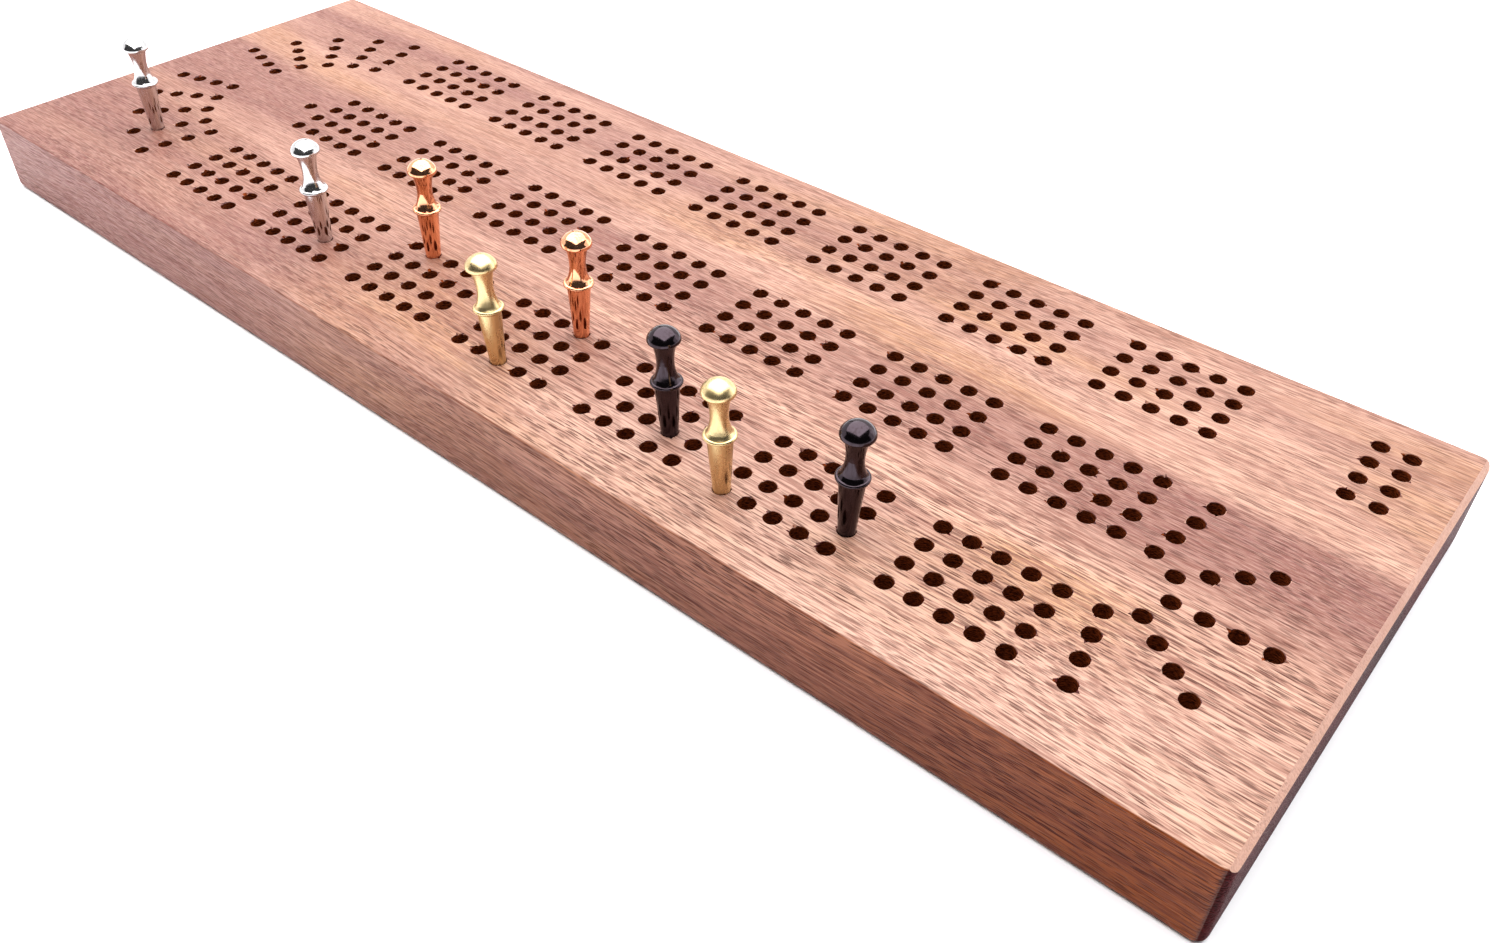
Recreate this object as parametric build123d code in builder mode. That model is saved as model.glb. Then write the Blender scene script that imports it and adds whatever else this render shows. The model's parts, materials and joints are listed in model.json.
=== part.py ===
from build123d import *
from math import asin, cos, degrees, radians, sin
import os

# Cribbage board for four players: one slab of hardwood with a continuous track of four rows, and
# eight turned metal pegs, two of each finish. Millimetres. +X runs along the board, +Y across it,
# +Z up, and the origin is the middle of the underside.

os.makedirs("parts", exist_ok=True)

# ---- Driving dimensions: the slab --------------------------------------------------------------
BOARD_LENGTH = 372.5
BOARD_WIDTH = 123.5
BOARD_THICKNESS = 21.0
CORNER_RADIUS = 2.3
END_CHAMFER = 1.2
LONG_EDGE_RADIUS = 0.5
BOTTOM_EDGE_RADIUS = 1.5

# ---- Driving dimensions: the drilled pattern ---------------------------------------------------
HOLE_RADIUS = 1.85
HOLE_DEPTH = 11.0
HOLE_PITCH = 6.35
TRACK_COUNT = 4
GROUP_PITCH = 38.53
GROUP_COUNT = 7
GROUP_COLUMNS = 5
LANE_SPACING = 39.2
# The pattern sits a little off the slab's middle, towards the far edge.
PATTERN_SHIFT_Y = 2.3
FIRST_COLUMN_X = -118.2
START_COLUMNS_X = (167.15, 173.5)

# The wide turn joins the near and far lanes, and the finish hole is at its centre.
WIDE_TURN_X = -126.0
WIDE_TURN_RADIUS = 29.1
WIDE_TURN_FIRST_ANGLE = 14.75
WIDE_TURN_STEP_ANGLE = 15.45
WIDE_TURN_HALF_COUNT = 5

# The narrow turn joins the near and middle lanes.
NARROW_TURN_X = 144.4
NARROW_TURN_RADIUS = 10.0
NARROW_TURN_STEP_ANGLE = 39.6
NARROW_TURN_COUNT = 5

# ---- Driving dimensions: the pegs, heights measured from the board's top face -------------------
PEG_INSERTION = 9.0
PEG_MOUTH_RADIUS = 1.80
SHAFT_HEIGHT = 12.4
SHAFT_TOP_RADIUS = 2.60
TIP_CHAMFER = 0.3
QUIRK_RADIUS = 2.42
QUIRK_WIDTH = 0.28
COLLAR_HEIGHT = 13.2
COLLAR_BEAD_RADIUS = 0.46
COLLAR_RADIUS = 3.37
NECK_FOOT_HEIGHT = 14.45
NECK_FOOT_RADIUS = 2.40
WAIST_HEIGHT = 17.7
WAIST_RADIUS = 1.80
NECK_TOP_HEIGHT = 22.35
NECK_TOP_RADIUS = 2.52
HEAD_SEAT_HEIGHT = 22.6
HEAD_SEAT_RADIUS = 2.74
HEAD_RADIUS = 3.42
HEAD_TOP_HEIGHT = 25.8
DOME_RADIUS = 3.7
DOME_EDGE_RADIUS = 1.7

# Each peg: lane group, column and track it stands in, how much it stands proud of the others,
# and how far it leans towards +X, in degrees. A lean stays under the taper's half angle.
LANE_PEGS = {
    "peg_silver_front": (1, 3, 1, 0.5, 0.0),
    "peg_copper_back": (2, 1, 3, -0.3, 2.3),
    "peg_brass_back": (3, 2, 0, 0.2, -3.4),
    "peg_copper_front": (3, 3, 3, 0.4, 1.7),
    "peg_black_back": (4, 3, 1, -0.6, -1.9),
    "peg_brass_front": (5, 0, 0, 0.0, -1.8),
    "peg_black_front": (5, 4, 1, 0.4, 1.7),
}
# The rear silver peg stands in the wide turn. Its radial is counted from the board's left end
# towards the near lane, and its ring from the turn's centre.
TURN_PEG = ("peg_silver_back", 3, 2, 0.3, 2.5)


# ---- Hole positions ----------------------------------------------------------------------------
def track_offset(track):
    """Distance of a track from its lane's centreline, nearest track first."""
    return (track - (TRACK_COUNT - 1) / 2) * HOLE_PITCH


def lane_holes(lane):
    """Holes of a straight lane: -1 is the near lane, 0 the middle one and 1 the far one."""
    lane_y = PATTERN_SHIFT_Y + lane * LANE_SPACING
    return [
        (FIRST_COLUMN_X + group * GROUP_PITCH + column * HOLE_PITCH, lane_y + track_offset(track))
        for group in range(GROUP_COUNT)
        for column in range(GROUP_COLUMNS)
        for track in range(TRACK_COUNT)
    ]


def ring_hole(centre_x, centre_y, first_radius, ring, angle):
    """A hole on one ring of a turn, at an angle from +X."""
    radius = first_radius + ring * HOLE_PITCH
    return (centre_x + radius * cos(radians(angle)), centre_y + radius * sin(radians(angle)))


def wide_turn_angle(side, step):
    """Angle of a radial of the wide turn: side is -1 for the near half and 1 for the far half."""
    return 180 - side * (WIDE_TURN_FIRST_ANGLE + step * WIDE_TURN_STEP_ANGLE)


def wide_turn_holes():
    """Two groups of five radials, with a gap between them at the board's left end."""
    return [
        ring_hole(WIDE_TURN_X, PATTERN_SHIFT_Y, WIDE_TURN_RADIUS, ring, wide_turn_angle(side, step))
        for side in (-1, 1)
        for step in range(WIDE_TURN_HALF_COUNT)
        for ring in range(TRACK_COUNT)
    ]


def narrow_turn_holes():
    """One group of five radials, fanned about the +X direction."""
    centre_y = PATTERN_SHIFT_Y - LANE_SPACING / 2
    middle = (NARROW_TURN_COUNT - 1) / 2
    return [
        ring_hole(NARROW_TURN_X, centre_y, NARROW_TURN_RADIUS, ring, (step - middle) * NARROW_TURN_STEP_ANGLE)
        for step in range(NARROW_TURN_COUNT)
        for ring in range(TRACK_COUNT)
    ]


def start_holes():
    """Two columns of parking holes at the start of the far lane."""
    return [
        (column_x, PATTERN_SHIFT_Y + LANE_SPACING + track_offset(track))
        for column_x in START_COLUMNS_X
        for track in range(TRACK_COUNT)
    ]


finish_hole = (WIDE_TURN_X, PATTERN_SHIFT_Y)
drilled_holes = lane_holes(-1) + lane_holes(0) + lane_holes(1)
drilled_holes += wide_turn_holes() + narrow_turn_holes() + start_holes() + [finish_hole]


# ---- Board: a sanded slab, chamfered across its ends and drilled from the top --------------------
with BuildPart() as board:
    with BuildSketch(Plane.XY):
        RectangleRounded(BOARD_LENGTH, BOARD_WIDTH, CORNER_RADIUS)
    extrude(amount=BOARD_THICKNESS)
    fillet(board.faces().sort_by(Axis.Z)[0].outer_wire().edges(), BOTTOM_EDGE_RADIUS)

    # The long top edges are only eased, and each end is planed back to a narrow flat.
    long_edges = board.faces().sort_by(Axis.Z)[-1].edges().filter_by(Axis.X)
    fillet(long_edges, LONG_EDGE_RADIUS)
    with BuildSketch(Plane.XZ.offset(-BOARD_WIDTH / 2)):
        for side in (-1, 1):
            end_x = side * BOARD_LENGTH / 2
            inner_x = end_x - side * END_CHAMFER
            with BuildLine():
                Polyline(
                    (inner_x, BOARD_THICKNESS),
                    (end_x, BOARD_THICKNESS),
                    (end_x, BOARD_THICKNESS - END_CHAMFER),
                    close=True,
                )
            make_face()
    extrude(amount=BOARD_WIDTH, mode=Mode.SUBTRACT)

    with BuildSketch(Plane.XY.offset(BOARD_THICKNESS)):
        with Locations(*drilled_holes):
            Circle(HOLE_RADIUS)
    extrude(amount=-HOLE_DEPTH, mode=Mode.SUBTRACT)
board.part.label = "board"
export_step(board.part, "parts/board.step")


# ---- Pegs: turned from rod, seated by their taper ------------------------------------------------
def peg_plane(hole_x, hole_y, lean):
    """Plane of a peg's profile: its x is the peg's radius and its y runs up the peg's axis."""
    up_the_peg = Vector(sin(radians(lean)), 0, cos(radians(lean)))
    outwards = Vector(cos(radians(lean)), 0, -sin(radians(lean)))
    return Plane(
        origin=(hole_x, hole_y, BOARD_THICKNESS),
        x_dir=outwards,
        z_dir=outwards.cross(up_the_peg),
    )


def make_peg(name, hole, proud, lean):
    """One peg: tapered shaft, collar bead, waisted neck and domed head, turned in one piece."""
    taper = (SHAFT_TOP_RADIUS - PEG_MOUTH_RADIUS) / SHAFT_HEIGHT
    tip_radius = PEG_MOUTH_RADIUS - taper * PEG_INSERTION
    bead_centre = COLLAR_RADIUS - COLLAR_BEAD_RADIUS
    quirk_foot = SHAFT_HEIGHT + QUIRK_WIDTH / 2
    bead_foot = COLLAR_HEIGHT - COLLAR_BEAD_RADIUS
    bead_top = COLLAR_HEIGHT + COLLAR_BEAD_RADIUS

    # The dome is a spherical cap with a rounded edge, and the two arcs meet at the shoulder angle.
    edge_centre = HEAD_RADIUS - DOME_EDGE_RADIUS
    cap_centre_gap = DOME_RADIUS - DOME_EDGE_RADIUS
    shoulder = degrees(asin(edge_centre / cap_centre_gap))
    dome_centre = HEAD_TOP_HEIGHT - DOME_RADIUS
    rim_height = dome_centre + cap_centre_gap * cos(radians(shoulder))

    profile_plane = peg_plane(*hole, lean)
    profile_plane = profile_plane.shift_origin(profile_plane.origin + profile_plane.y_dir * proud)
    with BuildPart() as peg:
        with BuildSketch(profile_plane):
            with BuildLine():
                Polyline(
                    (0, -PEG_INSERTION),
                    (tip_radius - TIP_CHAMFER, -PEG_INSERTION),
                    (tip_radius, TIP_CHAMFER - PEG_INSERTION),
                    (SHAFT_TOP_RADIUS, SHAFT_HEIGHT),
                    (QUIRK_RADIUS, quirk_foot),
                    (QUIRK_RADIUS, bead_foot),
                    (bead_centre, bead_foot),
                )
                ThreePointArc((bead_centre, bead_foot), (COLLAR_RADIUS, COLLAR_HEIGHT), (bead_centre, bead_top))
                neck = TangentArc(
                    (WAIST_RADIUS, WAIST_HEIGHT), (NECK_FOOT_RADIUS, NECK_FOOT_HEIGHT), tangent=(0, -1)
                )
                TangentArc(neck @ 1, (bead_centre, bead_top), tangent=neck % 1)
                TangentArc((WAIST_RADIUS, WAIST_HEIGHT), (NECK_TOP_RADIUS, NECK_TOP_HEIGHT), tangent=(0, 1))
                Line((NECK_TOP_RADIUS, NECK_TOP_HEIGHT), (HEAD_SEAT_RADIUS, HEAD_SEAT_HEIGHT))
                TangentArc((HEAD_RADIUS, rim_height), (HEAD_SEAT_RADIUS, HEAD_SEAT_HEIGHT), tangent=(0, -1))
                CenterArc((edge_centre, rim_height), DOME_EDGE_RADIUS, 0, 90 - shoulder)
                CenterArc((0, dome_centre), DOME_RADIUS, 90 - shoulder, shoulder)
                Line((0, HEAD_TOP_HEIGHT), (0, -PEG_INSERTION))
            make_face()
        revolve(axis=Axis(profile_plane.origin, profile_plane.y_dir))
    peg.part.label = name
    export_step(peg.part, f"parts/{name}.step")


for name, (group, column, track, proud, lean) in LANE_PEGS.items():
    lane_index = (group * GROUP_COLUMNS + column) * TRACK_COUNT + track
    make_peg(name, lane_holes(-1)[lane_index], proud, lean)

name, step, ring, proud, lean = TURN_PEG
turn_index = step * TRACK_COUNT + ring
make_peg(name, wide_turn_holes()[turn_index], proud, lean)
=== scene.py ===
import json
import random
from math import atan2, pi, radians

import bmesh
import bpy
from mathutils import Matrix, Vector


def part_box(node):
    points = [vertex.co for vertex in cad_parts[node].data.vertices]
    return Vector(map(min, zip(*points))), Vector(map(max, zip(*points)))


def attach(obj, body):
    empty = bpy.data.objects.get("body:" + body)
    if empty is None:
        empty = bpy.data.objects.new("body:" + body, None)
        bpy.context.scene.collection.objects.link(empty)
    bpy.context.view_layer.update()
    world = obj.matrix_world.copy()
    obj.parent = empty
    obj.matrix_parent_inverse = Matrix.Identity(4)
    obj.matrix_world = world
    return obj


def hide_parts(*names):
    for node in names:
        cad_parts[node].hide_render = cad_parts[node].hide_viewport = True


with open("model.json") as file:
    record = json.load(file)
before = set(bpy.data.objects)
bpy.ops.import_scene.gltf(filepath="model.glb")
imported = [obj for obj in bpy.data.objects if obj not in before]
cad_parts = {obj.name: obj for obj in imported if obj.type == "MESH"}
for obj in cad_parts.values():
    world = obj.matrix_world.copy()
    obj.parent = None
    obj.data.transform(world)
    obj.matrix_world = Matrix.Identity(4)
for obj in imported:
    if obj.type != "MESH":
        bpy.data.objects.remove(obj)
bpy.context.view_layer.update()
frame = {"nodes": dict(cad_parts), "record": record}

# %% [markdown]
# This lesson dresses a cribbage board: one slab of oiled, open-pored hardwood drilled with a long
# looping track, and eight turned metal pegs in four finishes. The CAD model is already in place, in
# metres, with the board's underside on z = 0. Here the board is modelled again, so that its holes
# are round and their rims a little torn, as a drill leaves them. The pegs keep their CAD shape and
# get their finishes.

MM = 0.001
record = frame["record"]
nodes = frame["nodes"]
low, high = (Vector(corner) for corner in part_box("board"))
board_size = high - low
print("nodes:", sorted(nodes))
print("board:", [round(side / MM, 2) for side in board_size], "mm")

# %% [markdown]
# Three small helpers serve every piece. Operators act on whatever is selected, and the frame comes
# in selected, so the first clears the selection and picks one object. The second goes into edit mode
# and selects edges or faces that pass a test, which is how a hand would pick them. The third goes
# back to object mode.

# %% Selection helpers
def pick(obj):
    """Select one object and make it active."""
    bpy.ops.object.select_all(action="DESELECT")
    obj.select_set(True)
    bpy.context.view_layer.objects.active = obj


def edit_selected(obj, test, kind="EDGE"):
    """Enter edit mode with only the edges or faces that pass the test selected, and count them."""
    pick(obj)
    bpy.ops.object.mode_set(mode="EDIT")
    bpy.ops.mesh.select_mode(type=kind)
    bpy.ops.mesh.select_all(action="DESELECT")
    edit_mesh = bmesh.from_edit_mesh(obj.data)
    parts = edit_mesh.edges if kind == "EDGE" else edit_mesh.faces
    chosen = [part for part in parts if test(part)]
    for part in chosen:
        part.select_set(True)
    bmesh.update_edit_mesh(obj.data)
    return len(chosen)


def leave_edit_mode():
    """Return to object mode, which writes the edits into the mesh."""
    bpy.ops.object.mode_set(mode="OBJECT")


pick(nodes["board"])
print("helpers ready; active piece:", bpy.context.object.name)

# %% [markdown]
# The slab starts as a cube of the CAD board's size. A real one is sawn, sanded and eased by hand:
# its four upright corners are rounded, its long top edges only lose their sharpness, and its
# underside is softened so that it doesn't scratch a table. Each of these is one bevel in edit mode.
# Last, each end is planed to a narrow sloping flat, which is a bisect with the waste thrown away.

# %% The slab
CORNER_RADIUS = 2.3 * MM
EASED_EDGE = 0.5 * MM
BOTTOM_RADIUS = 1.5 * MM
END_FLAT = 1.2 * MM
LEVEL = 1e-6

bpy.ops.object.select_all(action="DESELECT")
bpy.ops.mesh.primitive_cube_add(size=1, location=(low + high) / 2, scale=board_size)
slab = bpy.context.object
slab.name = "board_slab"
bpy.ops.object.transform_apply(location=True, rotation=True, scale=True)


def is_upright(edge):
    first, second = (vert.co for vert in edge.verts)
    return abs(first.z - second.z) > board_size.z / 2


def lies_at(edge, height):
    return all(abs(vert.co.z - height) < LEVEL for vert in edge.verts)


edit_selected(slab, is_upright)
bpy.ops.mesh.bevel(offset=CORNER_RADIUS, segments=6, affect="EDGES")
leave_edit_mode()
edit_selected(slab, lambda edge: lies_at(edge, high.z))
bpy.ops.mesh.bevel(offset=EASED_EDGE, segments=3, affect="EDGES")
leave_edit_mode()
edit_selected(slab, lambda edge: lies_at(edge, low.z))
bpy.ops.mesh.bevel(offset=BOTTOM_RADIUS, segments=4, affect="EDGES")
leave_edit_mode()

for end in (-1, 1):
    edit_selected(slab, lambda face: True, kind="FACE")
    bpy.ops.mesh.bisect(
        plane_co=(end * (board_size.x / 2 - END_FLAT), 0, high.z),
        plane_no=(end, 0, 1),
        use_fill=True,
        clear_outer=True,
    )
    leave_edit_mode()
print("slab faces:", len(slab.data.polygons))

# %% [markdown]
# The holes are where the CAD board has them, so their places are read from its mesh: the flat floor
# of each hole is one island of faces, and the middle of its outline is the hole's centre. The finish
# hole's mount gives the drill's radius and depth.

# %% Where the holes are
finish_mount = next(mount for mount in record["mounts"] if mount["kind"] == "bore")
hole_radius = finish_mount["dims"]["r_mm"] * MM
hole_floor = high.z - finish_mount["dims"]["length_mm"] * MM
SAME_LEVEL = 0.02 * MM

cad_board = bmesh.new()
cad_board.from_mesh(nodes["board"].data)
bmesh.ops.remove_doubles(cad_board, verts=cad_board.verts, dist=LEVEL)


def is_floor(face):
    return all(abs(vert.co.z - hole_floor) < SAME_LEVEL for vert in face.verts)


floor_faces = {face for face in cad_board.faces if is_floor(face)}
hole_centres = []
while floor_faces:
    island = [floor_faces.pop()]
    for face in island:
        for edge in face.edges:
            for neighbour in edge.link_faces:
                if neighbour in floor_faces:
                    floor_faces.discard(neighbour)
                    island.append(neighbour)
    rim = {vert for face in island for vert in face.verts}
    xs = [vert.co.x for vert in rim]
    ys = [vert.co.y for vert in rim]
    hole_centres.append(Vector(((min(xs) + max(xs)) / 2, (min(ys) + max(ys)) / 2, 0)))
cad_board.free()
hole_centres.sort(key=lambda centre: (round(centre.x, 6), round(centre.y, 6)))
print("holes:", len(hole_centres), "of radius", round(hole_radius / MM, 3), "mm")

# %% [markdown]
# A drill is modelled once and copied to every hole, and the copies together are cut out of the slab.
# It is a cylinder whose top flares out past the surface, so the cut leaves a fine countersink. In
# open-pored wood the bit lifts a few fibres where it leaves the grain, mostly at the two sides that
# face along the slab. So each copy's flare gets its own small nicks, from a seeded draw.

# %% The drill
DRILL_SIDES = 28
RIM = 0.11 * MM
DRILL_CLEAR = 0.11 * MM
FLARE = (hole_radius + RIM + DRILL_CLEAR) / hole_radius

bpy.ops.object.select_all(action="DESELECT")
bpy.ops.mesh.primitive_cylinder_add(
    vertices=DRILL_SIDES,
    radius=hole_radius,
    depth=high.z - RIM - hole_floor,
    location=(0, 0, (high.z - RIM + hole_floor) / 2),
)
drill = bpy.context.object
drill.name = "drill"
bpy.ops.object.transform_apply(location=True, rotation=True, scale=True)
edit_selected(drill, lambda face: face.normal.z > 0.9, kind="FACE")
bpy.ops.mesh.extrude_region_move(TRANSFORM_OT_translate={"value": (0, 0, RIM + DRILL_CLEAR)})
bpy.ops.transform.resize(value=(FLARE, FLARE, 1), center_override=(0, 0, 0))
leave_edit_mode()
print("drill faces:", len(drill.data.polygons))

# %% A copy for each hole
TORN_LONGEST = 0.46 * MM
TORN_DEPTH = 0.35 * MM
ROUGH_RIM = 0.03 * MM
NICKS = (0, 1, 1, 2, 2, 3)
NICK_SIDES = (pi, pi, 0)
NICK_SPREAD = 0.55
NICK_SIZES = (0.3, 1.0)
draw = random.Random(121)


def tear_rim(mesh):
    """Push a few of the flare's outer points out, mostly along the grain, and their feet down."""
    torn = {}
    for _ in range(draw.choice(NICKS)):
        angle = draw.choice(NICK_SIDES) + draw.gauss(0, NICK_SPREAD)
        torn[round(angle / (2 * pi) * DRILL_SIDES) % DRILL_SIDES] = draw.uniform(*NICK_SIZES)
    for vert in mesh.vertices:
        if vert.co.z < high.z - 2 * RIM:
            continue
        outward = vert.co.to_2d().normalized()
        angle = atan2(outward.y, outward.x)
        size = torn.get(round(angle / (2 * pi) * DRILL_SIDES) % DRILL_SIDES, 0)
        if vert.co.z > high.z:
            push = 2 * (draw.uniform(-ROUGH_RIM, ROUGH_RIM) + size * TORN_LONGEST)
            vert.co.x += outward.x * push
            vert.co.y += outward.y * push
        else:
            vert.co.z -= size * TORN_DEPTH


drills = []
for centre in hole_centres:
    copy = bpy.data.objects.new("drill_copy", drill.data.copy())
    tear_rim(copy.data)
    for vert in copy.data.vertices:
        vert.co += centre
    bpy.context.collection.objects.link(copy)
    drills.append(copy)
bpy.data.objects.remove(drill)

bpy.ops.object.select_all(action="DESELECT")
for copy in drills:
    copy.select_set(True)
bpy.context.view_layer.objects.active = drills[0]
bpy.ops.object.join()
all_drills = bpy.context.object
print("drills' faces:", len(all_drills.data.polygons))

# %% [markdown]
# One boolean cuts all the holes. The drills never touch each other, so the fast solver is enough.
# Afterwards the slab is shaded smooth by angle, and Weighted Normal keeps its big flat faces flat
# next to the small bevels.

# %% Drilling the slab
SMOOTH_ANGLE = radians(32)
drilling = slab.modifiers.new("drilling", "BOOLEAN")
drilling.operation = "DIFFERENCE"
drilling.solver = "MANIFOLD"
drilling.object = all_drills
pick(slab)
bpy.ops.object.modifier_apply(modifier=drilling.name)
bpy.data.objects.remove(all_drills)

pick(slab)
bpy.ops.object.shade_smooth_by_angle(angle=SMOOTH_ANGLE)
flat_faces = slab.modifiers.new("flat_faces", "WEIGHTED_NORMAL")
flat_faces.keep_sharp = True
flat_faces.weight = 100
bpy.ops.object.modifier_apply(modifier=flat_faces.name)
triangles = sum(len(face.vertices) - 2 for face in slab.data.polygons)
print("slab triangles:", triangles)

# %% [markdown]
# Every finish below is a node tree, so a few short helpers build trees. Each finish reads Object
# coordinates, which stay with the piece when it moves. They are turned into millimetres first, so
# every size in a finish is a real one.

# %% Node helpers: a new finish
def new_finish(name):
    """A material with its shader, and the piece's own coordinates in millimetres."""
    finish = bpy.data.materials.new(name)
    finish.use_nodes = True
    tree = finish.node_tree
    shader = tree.nodes["Principled BSDF"]
    place = tree.nodes.new("ShaderNodeTexCoord").outputs["Object"]
    millimetres = stretch(tree, place, (1 / MM, 1 / MM, 1 / MM))
    return finish, tree, shader, millimetres


def connect(tree, source, socket):
    """Link a socket, or write a plain value or colour into it."""
    if isinstance(source, bpy.types.NodeSocket):
        tree.links.new(source, socket)
    else:
        socket.default_value = source


def stretch(tree, vector, scale, turn=(0, 0, 0)):
    """Coordinates scaled along each axis, so a small scale draws a pattern out along it."""
    node = tree.nodes.new("ShaderNodeMapping")
    node.inputs["Scale"].default_value = scale
    node.inputs["Rotation"].default_value = turn
    tree.links.new(vector, node.inputs["Vector"])
    return node.outputs["Vector"]


print("a finish starts from its piece's own place, in steps of", MM, "m")

# %% [markdown]
# Wood and metal both get their marks from soft noise. A mark is the noise between two of its values,
# so the next helpers make noise, do sums with it and stretch a range of it over another range.

# %% Node helpers: noise and sums
def cloud(tree, vector, detail=2.0, roughness=0.5):
    """Soft noise, one blob to a unit."""
    node = tree.nodes.new("ShaderNodeTexNoise")
    node.inputs["Scale"].default_value = 1.0
    node.inputs["Detail"].default_value = detail
    node.inputs["Roughness"].default_value = roughness
    tree.links.new(vector, node.inputs["Vector"])
    return node.outputs["Fac"]


def math_node(tree, operation, first, second=0.0):
    node = tree.nodes.new("ShaderNodeMath")
    node.operation = operation
    connect(tree, first, node.inputs[0])
    connect(tree, second, node.inputs[1])
    return node.outputs["Value"]


def remap(tree, value, old_low, old_high, new_low=0.0, new_high=1.0, smooth=True):
    """Turn one range of values into another, clamped at both ends."""
    node = tree.nodes.new("ShaderNodeMapRange")
    node.interpolation_type = "SMOOTHSTEP" if smooth else "LINEAR"
    connect(tree, value, node.inputs["Value"])
    node.inputs["From Min"].default_value = old_low
    node.inputs["From Max"].default_value = old_high
    node.inputs["To Min"].default_value = new_low
    node.inputs["To Max"].default_value = new_high
    return node.outputs["Result"]


print("noise helpers ready")

# %% [markdown]
# A mark is seen by its colour and felt by its relief, so the last two helpers blend one colour over
# another by an amount, and raise or sink the surface.

# %% Node helpers: colour and relief
def blend_colours(tree, amount, first, second, way="MIX"):
    node = tree.nodes.new("ShaderNodeMix")
    node.data_type = "RGBA"
    node.blend_type = way
    connect(tree, amount, node.inputs["Factor"])
    connect(tree, first, node.inputs["A"])
    connect(tree, second, node.inputs["B"])
    return node.outputs["Result"]


def relief(tree, height, depth, shader, below=None):
    """Raise the surface by a height in metres, on top of an earlier relief if there is one."""
    node = tree.nodes.new("ShaderNodeBump")
    node.inputs["Distance"].default_value = depth
    tree.links.new(height, node.inputs["Height"])
    if below is not None:
        tree.links.new(below, node.inputs["Normal"])
    tree.links.new(node.outputs["Normal"], shader.inputs["Normal"])
    return node.outputs["Normal"]


print("colour and relief helpers ready")

# %% [markdown]
# Sapele is a reddish-tan hardwood with interlocked grain. Four things make its look: broad bands of
# redder wood along the slab, fine fibres, short dark pore lines that the sanding leaves open, and a
# faint mottle across the grain. The pattern is a solid one, made from noise drawn out along X, so the
# pores are lines on the top and the long sides and turn to dots on the ends, as in real wood. A pore
# is one cell of a Voronoi pattern, long and thin, and drawn only where its distance is small.

# %% Wood: where the grain runs
sapele, wood, wood_shader, wood_mm = new_finish("sapele")
WANDER = 9.0
RING_SLANT = 0.9

place = wood.nodes.new("ShaderNodeSeparateXYZ")
wood.links.new(wood_mm, place.inputs["Vector"])
drift = cloud(wood, stretch(wood, wood_mm, (0.008, 0.010, 0.02)), detail=1.5)
lift = cloud(wood, stretch(wood, wood_mm, (0.012, 0.018, 0.015), turn=(0, 0, 0.6)), detail=1.0)
grain_y = math_node(wood, "ADD", place.outputs["Y"], math_node(wood, "MULTIPLY", drift, WANDER))
grain_z = math_node(wood, "ADD", place.outputs["Z"], math_node(wood, "MULTIPLY", lift, WANDER))
grain_join = wood.nodes.new("ShaderNodeCombineXYZ")
wood.links.new(place.outputs["X"], grain_join.inputs["X"])
wood.links.new(grain_y, grain_join.inputs["Y"])
wood.links.new(grain_z, grain_join.inputs["Z"])
grain = grain_join.outputs["Vector"]
print("grain wanders by up to", WANDER, "mm")

# %% [markdown]
# The bands come from the tree's rings, so they are set by their distance across the board and sink
# at a slant into its depth. A colour ramp holds how red the wood is at each offset in mm.

# %% Wood: rosy bands across the width
BANDS = (
    (-66, 0.15), (-52, 0.08), (-41, 0.22), (-30, 0.10), (-19, 0.00), (-10, 0.60), (-2, 1.00), (8, 1.00),
    (17, 0.10), (26, 0.00), (37, 0.35), (47, 0.50), (57, 0.15), (66, 0.55),
)
HALF_SPAN = 66
below_top = math_node(wood, "SUBTRACT", place.outputs["Z"], board_size.z / MM)
ring_depth = math_node(wood, "MULTIPLY", below_top, RING_SLANT)
ring_place = math_node(wood, "ADD", math_node(wood, "SUBTRACT", grain_y, WANDER / 2), ring_depth)
band_map = wood.nodes.new("ShaderNodeValToRGB")
wood.links.new(remap(wood, ring_place, -HALF_SPAN, HALF_SPAN, smooth=False), band_map.inputs["Fac"])
stops = band_map.color_ramp.elements
first_redness, last_redness = BANDS[0][1], BANDS[-1][1]
stops[0].color = (first_redness, first_redness, first_redness, 1)
stops[-1].color = (last_redness, last_redness, last_redness, 1)
for offset, redness in BANDS[1:-1]:
    stop = stops.new((offset + HALF_SPAN) / (2 * HALF_SPAN))
    stop.color = (redness, redness, redness, 1)
print("bands:", len(BANDS), "stops at", [round(stop.position, 2) for stop in stops])

# %% [markdown]
# Real bands aren't even. These fade in and out along the slab, looser bands run between them, and
# the left part of the board, most of all along its near edge, is redder than the rest.

# %% Wood: uneven bands and the redder left
LOOSE_BANDS = 0.45
BLUSH_ALONG = (50, -120)
BLUSH_ACROSS = (0, -42)
fading_cloud = cloud(wood, stretch(wood, grain, (0.011, 0.02, 0.02)), detail=1.5)
fading = remap(wood, fading_cloud, 0.34, 0.62, 0.62, 1.0)
loose_cloud = cloud(wood, stretch(wood, grain, (0.005, 0.07, 0.06)), detail=2.5)
loose_band = math_node(wood, "MULTIPLY", remap(wood, loose_cloud, 0.40, 0.72), LOOSE_BANDS)
band = math_node(wood, "MULTIPLY", band_map.outputs["Color"], fading)
band = math_node(wood, "ADD", band, loose_band)
left_part = remap(wood, place.outputs["X"], *BLUSH_ALONG)
near_part = remap(wood, place.outputs["Y"], *BLUSH_ACROSS, 0.45, 1.0)
blush = math_node(wood, "MULTIPLY", left_part, near_part)
band = math_node(wood, "ADD", band, math_node(wood, "MULTIPLY", blush, fading))
print("redder from x =", BLUSH_ALONG[0], "to", BLUSH_ALONG[1], "mm")

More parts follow.
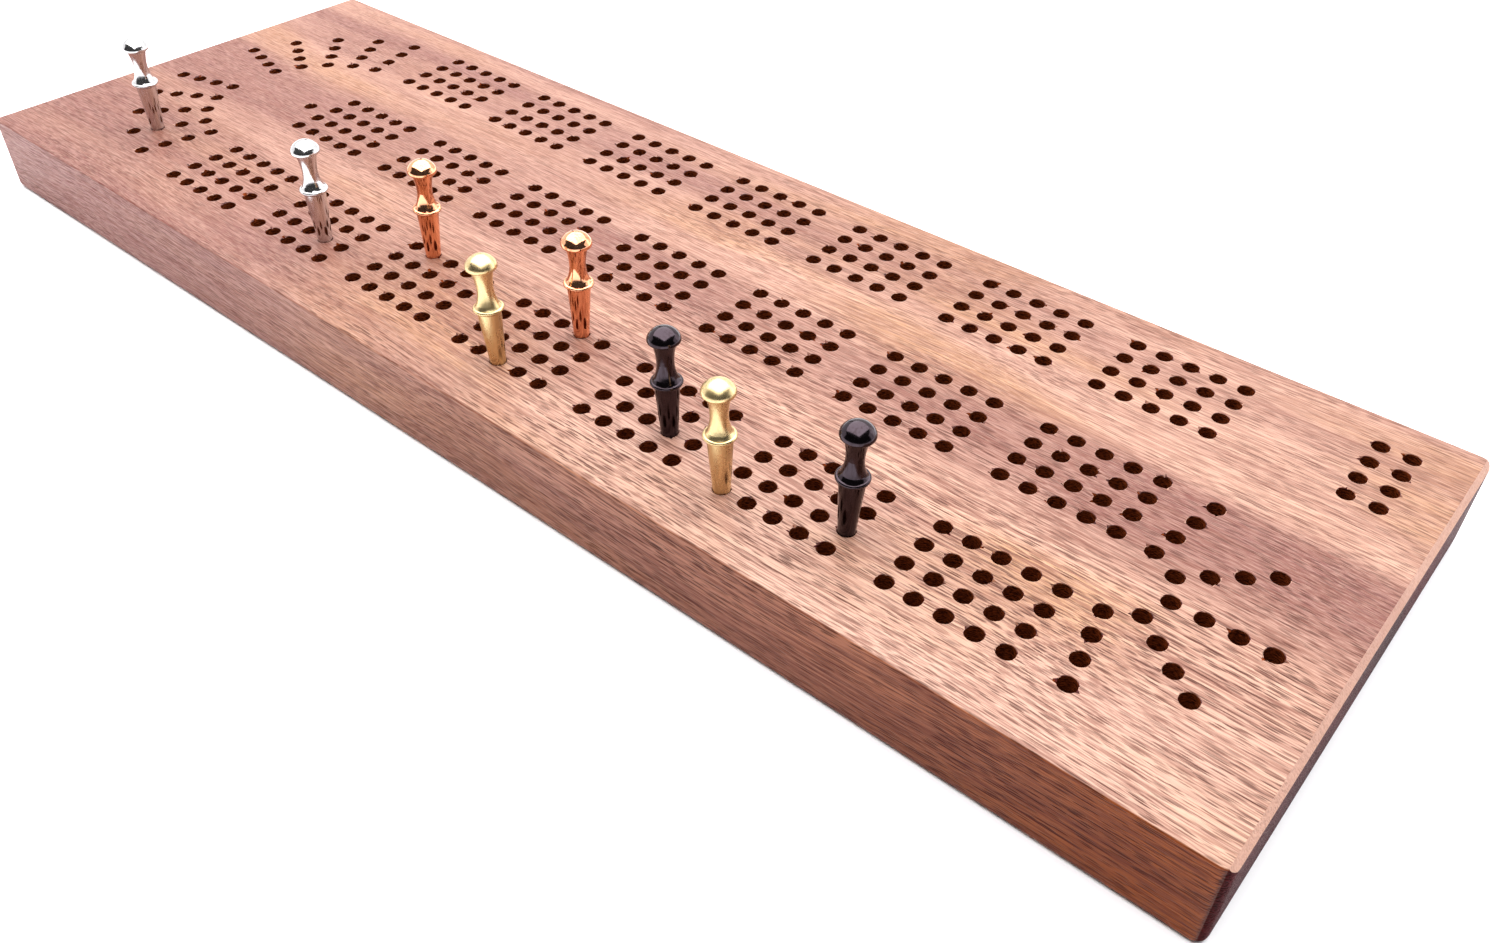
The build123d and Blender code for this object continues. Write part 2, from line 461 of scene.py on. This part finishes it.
# %% [markdown]
# Finer marks come from the same noise at other sizes. Ribbon is the slow stripe of interlocked grain,
# mottle lies a little across it, fibres and ring lines are thin dark lines, and gold is a warmer
# zone. On this board the thin lines are stronger towards the near right corner.

# %% Wood: ribbon, mottle and fibres
def wood_mark(scales, span, detail=2.0, roughness=0.5, turn=(0, 0, 0)):
    """Noise drawn out along the grain by scales per mm, a span of it remapped to 0 to 1."""
    noise = cloud(wood, stretch(wood, grain, scales, turn=turn), detail=detail, roughness=roughness)
    return remap(wood, noise, *span)


ribbon = wood_mark((0.014, 0.33, 0.28), (0.32, 0.68), detail=3.0)
mottle = wood_mark((0.10, 0.22, 0.15), (0.38, 0.66), detail=3.0, turn=(0, 0, 0.5))
fibre = wood_mark((0.05, 2.7, 2.7), (0.44, 0.60), detail=3.0, roughness=0.6)
ring_line = wood_mark((0.016, 1.45, 1.3), (0.51, 0.60), detail=2.5)
gold = wood_mark((0.012, 0.05, 0.06), (0.42, 0.66), turn=(0, 0, 0.2))
fine_fibre = wood_mark((0.30, 6.0, 6.0), (0.35, 0.65))
strong_along = remap(wood, place.outputs["X"], -90, 60, 0.62, 1.0)
strong_across = remap(wood, place.outputs["Y"], 25, -25, 0.70, 1.0)
strong_grain = math_node(wood, "MULTIPLY", strong_along, strong_across)
print("wood marks:", len(wood.nodes), "nodes so far")

# %% [markdown]
# The marks are laid over the pale wood one by one, each with its own colour and share. The top also
# gets painted light: a paler patch along its near edge at the right. A face's own normal tells the top
# from the sides.

# %% Wood: laying the colours
PALE = (0.52, 0.30, 0.213, 1)
GOLDEN = (0.44, 0.225, 0.095, 1)
ROSY = (0.165, 0.053, 0.045, 1)
STREAK = (0.130, 0.029, 0.015, 1)
# A pale colour for the fine fibres, also used as painted light on the top at the near right.
FIBRE_AND_PAINTED_LIGHT = (0.58, 0.365, 0.28, 1)
PORE = (0.055, 0.012, 0.006, 1)
LINE_SHARE = 0.58


def lay(tone, mark, share, colour):
    """Blend a colour over the tone where the mark is, up to a share of full strength."""
    return blend_colours(wood, math_node(wood, "MULTIPLY", mark, share), tone, colour)


facing = wood.nodes.new("ShaderNodeSeparateXYZ")
wood.links.new(wood.nodes["Texture Coordinate"].outputs["Normal"], facing.inputs["Vector"])
near_right = math_node(wood, "MULTIPLY", remap(wood, place.outputs["X"], 0, 55),
                       remap(wood, place.outputs["Y"], -26, -50))
# Painted light: a paler patch on the top, towards the right along its near edge.
near_painted_light = math_node(wood, "MULTIPLY", near_right, remap(wood, facing.outputs["Z"], 0.4, 0.9))
line_share = math_node(wood, "MULTIPLY", strong_grain, LINE_SHARE)

tone = lay(PALE, gold, 0.85, GOLDEN)
tone = lay(tone, band, 0.95, ROSY)
tone = lay(tone, ring_line, line_share, STREAK)
tone = lay(tone, ribbon, 0.26, STREAK)
tone = lay(tone, mottle, 0.13, STREAK)
tone = lay(tone, fine_fibre, 0.30, FIBRE_AND_PAINTED_LIGHT)
tone = lay(tone, near_painted_light, 0.42, FIBRE_AND_PAINTED_LIGHT)
tone = lay(tone, fibre, line_share, STREAK)
print("wood tones:", len(wood.nodes), "nodes so far")

# %% [markdown]
# A pore is a vessel of the tree cut open along its length: a dark dash a few millimetres long and a
# fraction wide. Two sizes of cell are used, and a cell's random colour decides if it holds a pore
# and how dark that is. Pores crowd together in places.

# %% Wood: open pores
def pore_lines(length, width, start, share):
    """Short dark lines of a length and width in mm, in only a share of the cells."""
    cells = wood.nodes.new("ShaderNodeTexVoronoi")
    cells.inputs["Scale"].default_value = 1.0
    wood.links.new(stretch(wood, grain, (1 / length, 1 / width, 1 / width)), cells.inputs["Vector"])
    line = remap(wood, cells.outputs["Distance"], start, start * 0.5)
    lottery = wood.nodes.new("ShaderNodeSeparateColor")
    wood.links.new(cells.outputs["Color"], lottery.inputs["Color"])
    kept = remap(wood, lottery.outputs["Red"], 1 - share, 1 - share + 0.05, smooth=False)
    strength = remap(wood, lottery.outputs["Green"], 0, 1, 0.65, 1.0, smooth=False)
    return math_node(wood, "MULTIPLY", math_node(wood, "MULTIPLY", line, kept), strength)


long_pores = pore_lines(length=12.0, width=0.52, start=0.40, share=0.9)
short_pores = pore_lines(length=4.6, width=0.46, start=0.48, share=0.9)
pores = math_node(wood, "MAXIMUM", long_pores, math_node(wood, "MULTIPLY", short_pores, 0.95))
crowding = wood_mark((0.02, 0.14, 0.1), (0.3, 0.62, 0.5, 1.0))
pores = math_node(wood, "MULTIPLY", math_node(wood, "MULTIPLY", pores, crowding), strong_grain)
tone = lay(tone, pores, 0.92, PORE)
print("wood pores:", len(wood.nodes), "nodes so far")

# %% [markdown]
# The long sides get painted light over the wood's colour: a painted sheen makes them paler and
# rosier at the left, and painted shade turns them a dark golden brown at the right. The ends are end
# grain, which drinks the oil and turns darker, and painted shade darkens them further. The planed
# flats along the ends are plain and light.
# The normal tells these faces apart. A flat slopes at 45 degrees, so the X and Z parts of its normal
# multiply to a half. The fine countersinks of the holes reach that too where they face along the
# slab, and get a hair of the same pale wood.

# %% Wood: painted light on the sides, darker shaded ends
# Painted light on the long sides: a painted sheen at the left, painted shade at the right.
SIDE_PAINTED_SHEEN = (1.38, 1.40, 1.50, 1)
SIDE_PAINTED_SHADE = (0.56, 0.20, 0.0, 1)
# Darker end grain, with painted shade on the ends as well.
END_GRAIN_AND_SHADE = (0.20, 0.0, 0.03, 1)
END_STRIP = (0.50, 0.28, 0.21, 1)
PAINTED_LIGHT_FROM, PAINTED_LIGHT_TO = -130, 170
FLAT_PRODUCT, FLAT_TOLERANCE = 0.5, 0.04
along = remap(wood, place.outputs["X"], PAINTED_LIGHT_FROM, PAINTED_LIGHT_TO, smooth=False)
side_painted_light = blend_colours(wood, along, SIDE_PAINTED_SHEEN, SIDE_PAINTED_SHADE)
on_side = remap(wood, math_node(wood, "ABSOLUTE", facing.outputs["Y"]), 0.3, 0.95)
slope_x = math_node(wood, "ABSOLUTE", facing.outputs["X"])
slope_product = math_node(wood, "MULTIPLY", slope_x, facing.outputs["Z"])
on_flat = math_node(wood, "COMPARE", slope_product, FLAT_PRODUCT)
on_flat.node.inputs[2].default_value = FLAT_TOLERANCE
on_end = math_node(wood, "SUBTRACT", remap(wood, slope_x, 0.2, 0.6), on_flat)
# The long sides are multiplied by the painted sheen and shade.
tone = blend_colours(wood, on_side, tone, blend_colours(wood, 1.0, tone, side_painted_light, "MULTIPLY"))
# The ends are multiplied by the darker end grain colour and its painted shade.
tone = blend_colours(wood, on_end, tone, blend_colours(wood, 1.0, tone, END_GRAIN_AND_SHADE, "MULTIPLY"))
tone = lay(tone, on_flat, 0.75, END_STRIP)
print("wood stains:", len(wood.nodes), "nodes so far")

# %% [markdown]
# Oil leaves a soft sheen that is duller on the fibres and in the pores. The pores are sunk and the
# finest fibres stand up a hair. The sides and the ends are drier than the top, so each is a copy of
# the finish with less sheen.

# %% Wood: surface
PORE_DEPTH = 0.08 * MM
FIBRE_HEIGHT = 0.012 * MM
TOP_SHEEN, SIDE_SHEEN, END_SHEEN = 0.25, 0.18, 0.02
wood.links.new(tone, wood_shader.inputs["Base Color"])
dull_fibre = remap(wood, fibre, 0, 1, 0.40, 0.50)
dull_pore = math_node(wood, "MULTIPLY", pores, 0.25)
wood.links.new(math_node(wood, "ADD", dull_fibre, dull_pore), wood_shader.inputs["Roughness"])
wood_shader.inputs["Specular IOR Level"].default_value = TOP_SHEEN
below = relief(wood, math_node(wood, "SUBTRACT", 1.0, pores), PORE_DEPTH, wood_shader)
relief(wood, fine_fibre, FIBRE_HEIGHT, wood_shader, below)


def drier_copy(name, sheen):
    """The same wood with less sheen."""
    finish = sapele.copy()
    finish.name = name
    finish.node_tree.nodes["Principled BSDF"].inputs["Specular IOR Level"].default_value = sheen
    return finish


end_grain = drier_copy("sapele_end_grain", END_SHEEN)
side_grain = drier_copy("sapele_side_grain", SIDE_SHEEN)
print("sapele:", len(wood.nodes), "nodes")

# %% [markdown]
# The walls of the holes are rough, with the rings that the bit turns into them, and get their own
# finish. It holds painted shade: they are coloured far darker than the oiled top, near black in
# places, as the shade deep in a hole.

# %% Drilled walls
# Painted shade: both wall colours are far darker than the wood, this one near black.
WALL_PAINTED_SHADE = (0.030, 0.004, 0.001, 1)
WALL_BROWN = (0.25, 0.050, 0.012, 1)
WALL_SHEEN = 0.03
BIT_MARK_DEPTH = 0.06 * MM
drilled, walls, wall_shader, wall_mm = new_finish("drilled_wall")
bit_marks = cloud(walls, stretch(walls, wall_mm, (1.2, 1.2, 6.0)), detail=3.0)
speckle = cloud(walls, stretch(walls, wall_mm, (3.0, 3.0, 3.0)), detail=2.0)
wall_tone = blend_colours(walls, remap(walls, bit_marks, 0.35, 0.65), WALL_PAINTED_SHADE, WALL_BROWN)
# Speckles of painted shade darken the walls further.
wall_tone = blend_colours(walls, math_node(walls, "MULTIPLY", speckle, 0.5), wall_tone, WALL_PAINTED_SHADE)
walls.links.new(wall_tone, wall_shader.inputs["Base Color"])
walls.links.new(remap(walls, speckle, 0.3, 0.7, 0.75, 0.95), wall_shader.inputs["Roughness"])
wall_shader.inputs["Specular IOR Level"].default_value = WALL_SHEEN
relief(walls, bit_marks, BIT_MARK_DEPTH, wall_shader)
print("drilled wall:", len(walls.nodes), "nodes")

# %% [markdown]
# Each face of the slab now gets its finish: walls and floors of the holes, ends, long sides, and the
# oiled wood for all the rest. Faces well inside the outline and below the surface are in a hole.

# %% Finish by face
OUTER_MARGIN = 3 * MM
TOP_FINISH, WALL_FINISH, END_FINISH, SIDE_FINISH = range(4)
slab.data.materials.clear()
for finish in (sapele, drilled, end_grain, side_grain):
    slab.data.materials.append(finish)


def finish_index(face):
    """The slot of a face's finish, from its place and the way it faces."""
    middle, normal = face.center, face.normal
    inside = all(abs(middle[axis]) < board_size[axis] / 2 - OUTER_MARGIN for axis in (0, 1))
    if inside:
        in_hole = low.z + MM < middle.z < high.z - RIM
        return WALL_FINISH if in_hole else TOP_FINISH
    if abs(normal.x) > 0.4 and abs(normal.z) < 0.5:
        return END_FINISH
    return SIDE_FINISH if abs(normal.y) > 0.7 else TOP_FINISH


for face in slab.data.polygons:
    face.material_index = finish_index(face)
print("wall faces:", sum(face.material_index == WALL_FINISH for face in slab.data.polygons))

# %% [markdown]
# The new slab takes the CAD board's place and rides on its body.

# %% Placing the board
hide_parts("board")
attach(slab, "board_body")
print("board's box:", [round(side / MM, 2) for side in slab.dimensions], "mm")

# %% [markdown]
# The pegs are turned from brass rod. Two are left brass, two are plated silver, two copper and two
# black nickel, all polished on the lathe. The lathe leaves very fine rings around a peg, and handling
# leaves scratches and dull patches, so one recipe makes all four finishes and only the numbers and
# the tarnish differ.

# %% Peg finishes
SCRATCH_DEPTH = 0.0004 * MM


def peg_finish(name, bright, dull, gloss, tarnish_share, ring_depth):
    """Turned metal: bright and dull colours, a range of roughness, tarnish and lathe rings."""
    finish, tree, shader, peg_mm = new_finish(name)
    smudge = cloud(tree, stretch(tree, peg_mm, (0.35, 0.35, 0.25)), detail=3.0)
    streak = cloud(tree, stretch(tree, peg_mm, (2.2, 2.2, 0.22)), detail=3.0)
    tarnish = remap(tree, math_node(tree, "MULTIPLY", smudge, streak), 0.22, 0.40, 0, tarnish_share)
    tree.links.new(blend_colours(tree, tarnish, bright, dull), shader.inputs["Base Color"])
    rings = cloud(tree, stretch(tree, peg_mm, (0.3, 0.3, 14.0)), detail=2.0)
    scratches = cloud(tree, stretch(tree, peg_mm, (9.0, 1.0, 3.0), turn=(0.4, 0.3, 0.8)), detail=2.0)
    worn = math_node(tree, "ADD", math_node(tree, "MULTIPLY", smudge, 0.6),
                     math_node(tree, "MULTIPLY", scratches, 0.4))
    tree.links.new(remap(tree, worn, 0.35, 0.65, gloss[0], gloss[1]), shader.inputs["Roughness"])
    shader.inputs["Metallic"].default_value = 1.0
    lathe = relief(tree, rings, ring_depth, shader)
    relief(tree, scratches, SCRATCH_DEPTH, shader, lathe)
    return finish


peg_finishes = {
    "silver": peg_finish("silver_plate", (0.64, 0.63, 0.64, 1), (0.38, 0.36, 0.36, 1),
                         (0.09, 0.18), 0.30, 0.0006 * MM),
    "copper": peg_finish("copper_plate", (0.90, 0.43, 0.24, 1), (0.40, 0.12, 0.045, 1),
                         (0.06, 0.14), 0.50, 0.0006 * MM),
    "brass": peg_finish("brass", (0.70, 0.54, 0.28, 1), (0.46, 0.31, 0.11, 1),
                        (0.25, 0.33), 0.25, 0.0008 * MM),
    "black": peg_finish("black_nickel", (0.048, 0.036, 0.043, 1), (0.02, 0.012, 0.012, 1),
                        (0.10, 0.18), 0.50, 0.0008 * MM),
}
for node_name, peg in nodes.items():
    if node_name.startswith("peg_"):
        peg.data.materials.clear()
        peg.data.materials.append(peg_finishes[node_name.split("_")[1]])
print("finished pegs:", sum(name.startswith("peg_") for name in nodes))

# %% [markdown]
# A plain white floor and four soft boxes make a product table with hardly any shadow: a wide one
# overhead, and three upright ones at the back, the left and the right, as the walls of a light tent.
# The domes of the pegs show them as white caps. The fourth side, where the camera stands, stays dim,
# and the domes show that as a dark patch in front.

# %% Floor
FLOOR_SIZE = 6
bpy.ops.object.select_all(action="DESELECT")
bpy.ops.mesh.primitive_plane_add(size=FLOOR_SIZE, location=(0, 0, low.z))
floor = bpy.context.object
floor.name = "floor"
bpy.ops.object.transform_apply(location=True, rotation=True, scale=True)
paper = bpy.data.materials.new("white_paper")
paper.use_nodes = True
paper_shader = paper.node_tree.nodes["Principled BSDF"]
paper_shader.inputs["Base Color"].default_value = (0.96, 0.96, 0.98, 1)
paper_shader.inputs["Roughness"].default_value = 0.9
floor.data.materials.append(paper)
print("floor:", FLOOR_SIZE, "m")

# %% Light
def soft_light(name, place, aim, size, power):
    """A rectangular soft box at a place, turned to an aim: size in metres, power in watts."""
    data = bpy.data.lights.new(name, "AREA")
    data.shape = "RECTANGLE"
    data.size, data.size_y = size
    data.energy = power
    lamp = bpy.data.objects.new(name, data)
    lamp.location = place
    lamp.rotation_euler = (Vector(aim) - Vector(place)).to_track_quat("-Z", "Y").to_euler()
    bpy.context.collection.objects.link(lamp)


soft_light("overhead", (-0.32, 0.36, 0.90), (-0.32, 0.36, 0), (1.9, 1.9), 52)
soft_light("back_wall", (-0.25, 1.35, 0.46), (-0.25, 0, 0.46), (3.0, 0.9), 12)
soft_light("left_wall", (-1.35, -0.20, 0.46), (0, -0.20, 0.46), (2.2, 0.9), 8)
soft_light("right_wall", (0.85, 0.95, 0.42), (0.05, 0.02, 0.20), (1.2, 0.8), 4.0)

ROOM_STRENGTH = 0.06
world = bpy.data.worlds.new("dim_room")
world.use_nodes = True
background = world.node_tree.nodes["Background"]
background.inputs["Color"].default_value = (1.0, 1.0, 1.0, 1)
background.inputs["Strength"].default_value = ROOM_STRENGTH
bpy.context.scene.world = world
bpy.context.scene.view_settings.view_transform = "Standard"
print("lights:", [light.name for light in bpy.data.lights])

# %% [markdown]
# The camera stands over the near right corner, close to the board, and looks along it towards its
# left end. The short lens makes the near corner large and the far end small.

# %% Camera
camera_data = bpy.data.cameras.new("camera")
camera_data.lens = 30.97
camera_data.sensor_width = 36
camera_data.clip_start = 0.01
camera = bpy.data.objects.new("camera", camera_data)
camera.location = (0.19747, -0.18778, 0.18603)
camera.rotation_euler = (radians(49.399), radians(-0.785), radians(40.045))
bpy.context.collection.objects.link(camera)
bpy.context.scene.camera = camera
print("camera at", [round(part, 3) for part in camera.location])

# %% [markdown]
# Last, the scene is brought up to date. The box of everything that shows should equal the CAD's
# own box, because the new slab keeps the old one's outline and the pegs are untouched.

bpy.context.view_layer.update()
